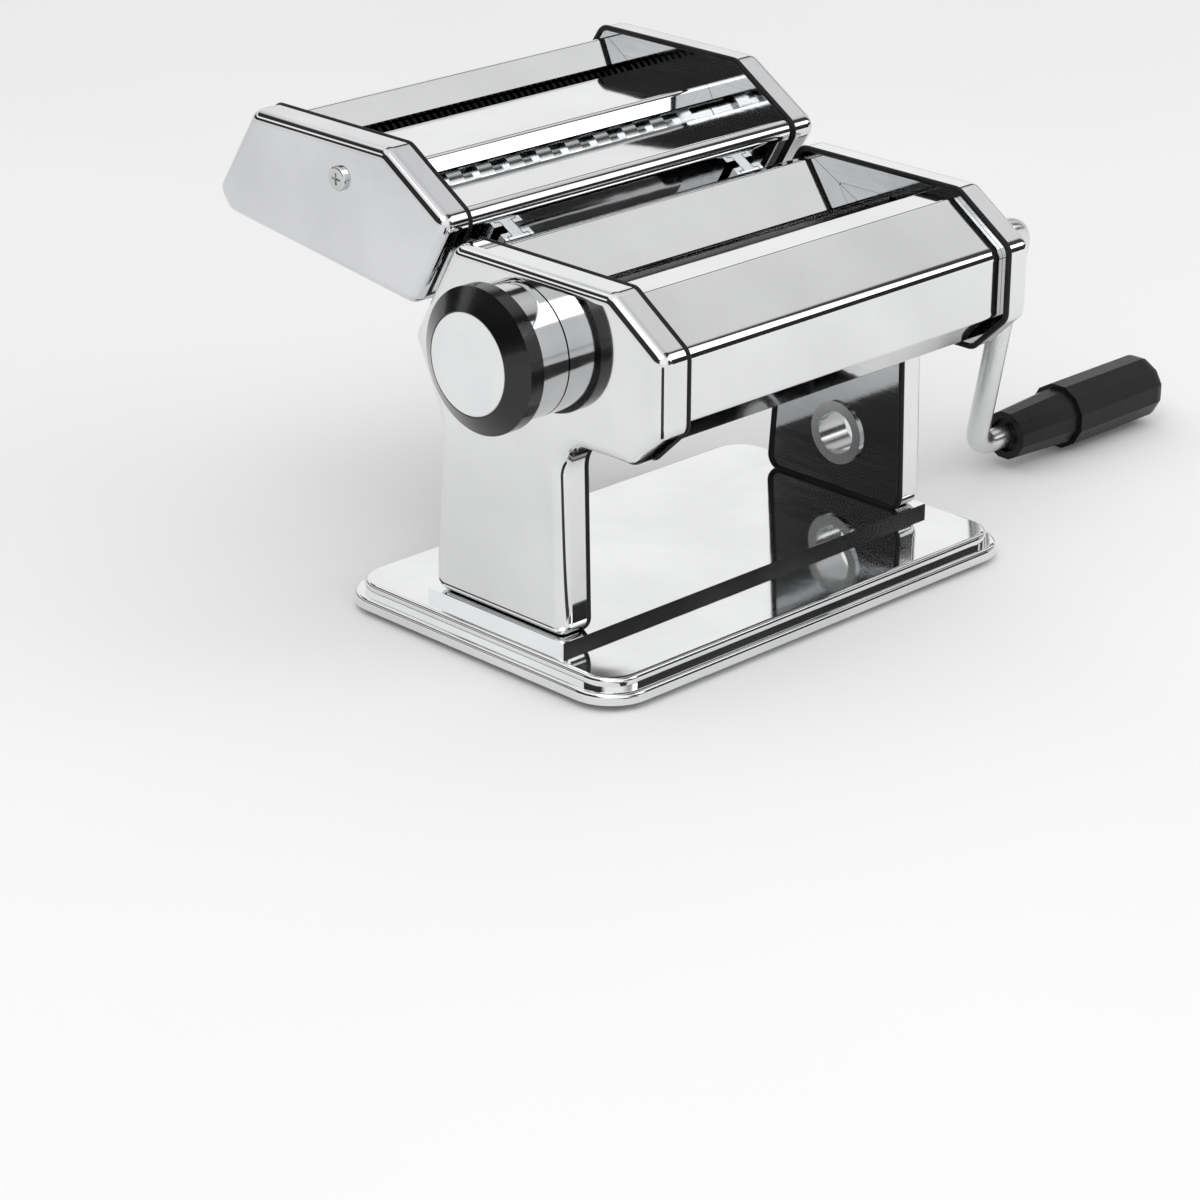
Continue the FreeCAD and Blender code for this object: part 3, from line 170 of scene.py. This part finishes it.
class Shader(Graph):
    """A node material that is built up step by step on a Principled surface."""

    def __init__(self, name, metallic, roughness, colour):
        self.mat = bpy.data.materials.new(name)
        self.mat.use_nodes = True
        super().__init__(self.mat.node_tree)
        self.surface = self.tree.nodes["Principled BSDF"]
        self.surface.inputs["Metallic"].default_value = metallic
        self.surface.inputs["Roughness"].default_value = roughness
        self.surface.inputs["Base Color"].default_value = (*colour, 1)
        self.mat.diffuse_color = (*colour, 1)
        self.place = self.tree.nodes.new("ShaderNodeTexCoord").outputs["Object"]

    def stretched(self, scale, shift=(0, 0, 0)):
        return self.node("ShaderNodeMapping", Vector=self.place, Scale=scale, Location=shift).outputs[0]

    def noise(self, scale=1.0, detail=2.0, place=None):
        vector = self.place if place is None else place
        return self.node("ShaderNodeTexNoise", Vector=vector, Scale=scale, Detail=detail).outputs["Fac"]

    def drive(self, key, value):
        self.tree.links.new(value, self.surface.inputs[key])

    def bump(self, height, strength, distance):
        made = self.node("ShaderNodeBump", Height=height, Strength=strength, Distance=distance)
        self.drive("Normal", made.outputs[0])


def chrome(name, low, high, rough, haze, ripple=0.05):
    """Mirror plating: faint smudges, hairline wipes and a slow orange-peel ripple."""
    s = Shader(name, 1.0, rough, high)
    smudge = s.noise(scale=26.0, detail=4.0)
    wipes = s.noise(detail=3.0, place=s.stretched((60, 900, 900)))
    s.drive("Base Color", s.ramp(smudge, (0.35, low), (0.62, high)))
    s.drive("Roughness", s.joined(s.spread(smudge, rough, rough + haze), s.spread(wipes, 0.0, haze * 0.5)))
    s.bump(s.noise(scale=70.0, detail=1.0), strength=ripple, distance=0.0006)
    return s.mat


def turned_steel(name, low, high, rough):
    """Steel turned about X: fine rings along the roller and a soft stain."""
    s = Shader(name, 1.0, rough, high)
    rings = s.noise(detail=4.0, place=s.stretched((2600, 30, 30)))
    stain = s.noise(scale=40.0, detail=3.0)
    s.drive("Base Color", s.ramp(s.mixed(rings, stain, 0.6), (0.35, low), (0.65, high)))
    s.drive("Roughness", s.spread(rings, rough, rough + 0.06))
    s.bump(rings, strength=0.02, distance=0.0001)
    return s.mat


def plate_steel(name, low, high, rough, relief=0.1):
    """Rolled sheet with drawn grain."""
    s = Shader(name, 1.0, rough, high)
    grain = s.noise(detail=5.0, place=s.stretched((900, 60, 1500)))
    cloud = s.noise(scale=30.0, detail=3.0)
    s.drive("Base Color", s.ramp(s.mixed(grain, cloud, 0.5), (0.35, low), (0.65, high)))
    s.drive("Roughness", s.spread(grain, rough, rough * 1.6))
    s.bump(grain, strength=relief, distance=0.0002)
    return s.mat


def plastic(name, low, high, rough, pores, gloss=0.35, coat=0.0):
    """Moulded plastic: moulding grain, slight gloss changes and a little dust."""
    s = Shader(name, 0.0, rough, high)
    grain = s.noise(scale=pores, detail=3.0)
    patch = s.noise(scale=55.0, detail=3.0)
    s.drive("Base Color", s.ramp(patch, (0.35, low), (0.7, high)))
    s.drive("Roughness", s.joined(s.spread(patch, rough, rough + 0.08), s.spread(grain, 0.0, 0.05)))
    s.bump(grain, strength=0.16, distance=0.0003)
    s.surface.inputs["Specular IOR Level"].default_value = gloss
    s.surface.inputs["Coat Weight"].default_value = coat
    s.surface.inputs["Coat Roughness"].default_value = 0.06
    return s.mat


def spun_cap(name, low, high, rough, axis_y, axis_z):
    """Pale cap with fine rings spun about the knob's axis."""
    s = Shader(name, 0.0, rough, high)
    flat = s.stretched((0, 1, 1), (0, -axis_y, -axis_z))
    away = s.node("ShaderNodeVectorMath", Vector=flat)
    away.operation = "LENGTH"
    outward = s.joined(away.outputs["Value"], 4000.0, "MULTIPLY")
    rings = s.noise(detail=2.0, place=s.node("ShaderNodeCombineXYZ", X=outward).outputs[0])
    patch = s.noise(scale=45.0, detail=2.0)
    s.drive("Base Color", s.ramp(s.mixed(rings, patch, 0.4), (0.35, low), (0.65, high)))
    s.drive("Roughness", s.spread(rings, rough, rough + 0.1))
    s.bump(rings, strength=0.08, distance=0.0002)
    return s.mat


# A material for each slot of the record; each maker takes a name, two colours and a roughness first
MATERIALS = {
    "chrome_sheet": chrome("mirror_chrome", (0.75, 0.755, 0.76), (0.81, 0.815, 0.82), 0.03, haze=0.03),
    "chrome_base": chrome("base_chrome", (0.76, 0.765, 0.77), (0.83, 0.835, 0.84), 0.035, haze=0.035),
    "chrome_fittings": chrome("fitting_chrome", (0.56, 0.565, 0.57), (0.68, 0.685, 0.69), 0.06, haze=0.05),
    "crank_steel": chrome("crank_plating", (0.66, 0.67, 0.68), (0.76, 0.765, 0.77), 0.2, haze=0.06,
                          ripple=0.012),
    "knob_sleeve_chrome": chrome("sleeve_chrome", (0.50, 0.505, 0.51), (0.62, 0.622, 0.625), 0.05, haze=0.04),
    # near-black roller colour is painted shade: it stands in for the dark slot that the plated rollers mirror
    "roller_steel": turned_steel("roller_steel", (0.04, 0.04, 0.042), (0.05, 0.05, 0.052), 0.22),
    "frame_steel": plate_steel("frame_steel", (0.50, 0.51, 0.52), (0.60, 0.61, 0.62), 0.05, relief=0.015),
    "gear_steel": plate_steel("gear_steel", (0.30, 0.30, 0.31), (0.42, 0.42, 0.43), 0.3),
    "bush_brass": plate_steel("bush_brass", (0.56, 0.42, 0.18), (0.72, 0.56, 0.28), 0.28),
    "knob_black": plastic("knob_black", (0.003, 0.003, 0.0035), (0.007, 0.007, 0.0075), 0.12, pores=900.0,
                          coat=0.25),
    "knob_cap_pale": spun_cap("knob_cap_pale", (0.70, 0.71, 0.72), (0.80, 0.805, 0.81), 0.32,
                              KNOB_AXIS_Y, KNOB_AXIS_Z),
    "grip_black": plastic("grip_black", (0.004, 0.004, 0.0045), (0.010, 0.010, 0.0105), 0.24, pores=1400.0,
                          gloss=0.2),
    "foot_rubber": plastic("foot_rubber", grey(0.02), grey(0.04), 0.7, pores=700.0),
}
# Finishes for single nodes, in place of their slot's material, and for the beads, whose black is painted
# reflection
# darker copy of the mirror chrome: painted shade that makes the cutter's plates greyer than the body's
CUTTER_SHADED_PLATING = chrome("cutter_plate_shaded_chrome", (0.66, 0.665, 0.675), (0.73, 0.735, 0.745), 0.03, haze=0.03)
# near-black narrow cutter colour is painted shade for the shadowed slot they turn in
NARROW_PAINTED_SHADE_STEEL = turned_steel("narrow_cutter_painted_shade", grey(0.012), (0.025, 0.025, 0.026), 0.35)
FERRULE_SATIN = turned_steel("ferrule_satin", (0.50, 0.505, 0.51), (0.62, 0.625, 0.63), 0.18)
WIDE_STEEL = turned_steel("wide_cutter_steel", (0.52, 0.53, 0.54), (0.66, 0.67, 0.68), 0.14)
# near-black bead colour: painted reflection of the rims' dark lines
REFLECTION_LINE_BLACK = plastic("painted_reflection_line_black", grey(0.006), grey(0.014), 0.4, pores=900.0, gloss=0.2)
OWN = {
    "wide_driven_cutter": WIDE_STEEL,
    "wide_mate_cutter": WIDE_STEEL,
    "narrow_driven_cutter": NARROW_PAINTED_SHADE_STEEL,
    "narrow_mate_cutter": NARROW_PAINTED_SHADE_STEEL,
    "clamp_ferrule": FERRULE_SATIN,
    "cutter_left_end_plate": CUTTER_SHADED_PLATING,
    "cutter_right_end_plate": CUTTER_SHADED_PLATING,
}


def finish_nodes():
    """Give each CAD node its material."""
    for part in frame["record"]["subparts"]:
        finishes = NODES[part["node"]].data.materials
        finishes.clear()
        finishes.append(OWN.get(part["node"], MATERIALS[part["material_slot"]]))


def rim_loops(mesh, edge_x):
    """The closed lines that bound the flat end of a plate's rim, the longer one first."""
    uses = {}
    for face in mesh.polygons:
        corners = [mesh.vertices[i].co for i in face.vertices]
        if max(abs(c.x - edge_x) for c in corners) > RIM_FLAT:
            continue
        keys = [tuple(round(n, PLACE_DIGITS) for n in c) for c in corners]
        for pair in zip(keys, keys[1:] + keys[:1]):
            side = frozenset(pair)
            uses[side] = uses.get(side, 0) + 1
    near = {}
    for side in uses:
        if uses[side] == 1:
            one, other = sorted(side)
            near.setdefault(one, []).append(other)
            near.setdefault(other, []).append(one)
    loops = []
    waiting = set(near)
    while waiting:
        here = min(waiting)
        loop = []
        while here is not None:
            waiting.discard(here)
            loop.append(Vector(here))
            here = next((n for n in near[here] if n in waiting), None)
        loops.append(loop)
    return sorted(loops, key=lambda loop: -sum((a - b).length for a, b in zip(loop, loop[1:])))


def painted_reflection_line(node, body):
    """A dark bead along the inner edge of a plate's rim: painted reflection of the dark line mirrored there.
    """
    mesh = NODES[node].data
    reach = [v.co.x for v in mesh.vertices]
    edge_x = max(reach) if sum(reach) / len(reach) < MIDDLE.x else min(reach)
    outer, inner = rim_loops(mesh, edge_x)[:2]
    points = []
    for place in outer:
        point = place.lerp(min(inner, key=lambda p: (p - place).length), BEAD_DEPTH)
        if not points or (point - points[-1]).length > BEAD_STEP:
            points.append(point)
    data = bpy.data.curves.new(node + "_painted_reflection_line", "CURVE")
    data.dimensions = "3D"
    data.bevel_depth = BEAD_RADIUS
    data.bevel_resolution = BEAD_RESOLUTION
    line = data.splines.new("POLY")
    line.points.add(len(points) - 1)
    line.use_cyclic_u = True
    for target, point in zip(line.points, points):
        target.co = (*point, 1)
    data.materials.append(REFLECTION_LINE_BLACK)
    made = bpy.data.objects.new(node + "_painted_reflection_line", data)
    scene.collection.objects.link(made)
    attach(made, body)


def camera():
    """The camera of the photograph's main view."""
    level = math.cos(CAMERA_PITCH)
    ahead = Vector((math.sin(CAMERA_YAW) * level, math.cos(CAMERA_YAW) * level, math.sin(CAMERA_PITCH)))
    right = Vector((math.cos(CAMERA_YAW), -math.sin(CAMERA_YAW), 0.0))
    up = right.cross(ahead)
    rolled_right = right * math.cos(CAMERA_ROLL) + up * math.sin(CAMERA_ROLL)
    rolled_up = up * math.cos(CAMERA_ROLL) - right * math.sin(CAMERA_ROLL)
    data = bpy.data.cameras.new("camera")
    data.lens = CAMERA_LENS
    data.sensor_width = CAMERA_SENSOR
    data.clip_end = CAMERA_REACH
    made = bpy.data.objects.new("camera", data)
    turn = Matrix((rolled_right, rolled_up, -ahead)).transposed().to_4x4()
    made.matrix_world = Matrix.Translation(MIDDLE + CAMERA_PLACE) @ turn
    scene.collection.objects.link(made)
    scene.camera = made


def pale_floor():
    """A plain floor of pale matt paper."""
    bpy.ops.mesh.primitive_plane_add(size=FLOOR_SIZE, location=(0, 0, 0))
    floor = bpy.context.object
    floor.name = "floor"
    s = Shader("floor_paper", metallic=0.0, roughness=0.6, colour=grey(0.93))
    s.drive("Base Color", s.greys(s.noise(scale=3.0), ((0.3, 0.92), (0.7, 0.95))))
    s.surface.inputs["Specular IOR Level"].default_value = 0.0
    floor.data.materials.append(s.mat)


def room():
    """A white room with dark bands for the plating to mirror; camera and matt surfaces see a plain grey."""
    world = bpy.data.worlds.new("studio")
    world.use_nodes = True
    scene.world = world
    g = Graph(world.node_tree)
    outside = g.tree.nodes.new("ShaderNodeTexCoord").outputs["Generated"]
    x, y, z = g.node("ShaderNodeSeparateXYZ", Vector=outside).outputs
    around = g.joined(g.joined(z, y, "ARCTAN2"), math.pi, "DIVIDE")
    right = g.greys(around, [(angle / 180, shade) for angle, shade in RIGHT_GREYS])
    slope = g.joined(g.joined(x, -1.0, "MULTIPLY"), g.joined(y, SIDE_LEAST_Y, "MAXIMUM"), "DIVIDE")
    side = g.blended(g.spread(slope, 0.0, 1.0, *SIDE_EDGE), 1.0, g.greys(z, LEFT_SIDE_GREYS))
    left = g.joined(side, g.greys(z, LEFT_GREYS), "MINIMUM")
    front_and_left = g.blended(g.spread(y, 0.0, 1.0, *FRONT_EDGE), g.greys(z, FRONT_GREYS), left)
    banded = g.blended(g.spread(x, 0.0, 1.0, *RIGHT_EDGE), front_and_left, right)
    rays = g.tree.nodes.new("ShaderNodeLightPath").outputs
    matt = g.joined(rays["Is Camera Ray"], rays["Is Diffuse Ray"], "MAXIMUM")
    background = g.tree.nodes["Background"].inputs
    g.feed(background["Color"], g.blended(matt, banded, PLAIN_GREY))
    background["Strength"].default_value = ROOM_STRENGTH


def black_cards():
    """Matt black cards that only mirrors see."""
    s = Shader("flag_paper", metallic=0.0, roughness=0.9, colour=grey(0.012))
    s.drive("Base Color", s.greys(s.noise(scale=40.0), ((0.3, 0.008), (0.7, 0.016))))
    for name, corners in CARDS:
        shape = bpy.data.meshes.new(name)
        shape.from_pydata([MIDDLE + Vector(c) for c in corners], [], [(0, 1, 2, 3)])
        shape.materials.append(s.mat)
        made = bpy.data.objects.new(name, shape)
        scene.collection.objects.link(made)
        made.visible_camera = False
        made.visible_diffuse = False
        made.visible_shadow = False


def lamps():
    """Two soft lamps aimed at the machine."""
    for name, place, power in LAMPS:
        data = bpy.data.lights.new(name, "AREA")
        data.size = LAMP_SIZE
        data.energy = power
        lamp = bpy.data.objects.new(name, data)
        lamp.location = MIDDLE + place
        lamp.rotation_euler = (LAMP_AIM - place).to_track_quat("-Z", "Y").to_euler()
        scene.collection.objects.link(lamp)


finish_nodes()
for plate, carrier in BEADED_PLATES:
    painted_reflection_line(plate, carrier)
camera()
pale_floor()
room()
black_cards()
lamps()
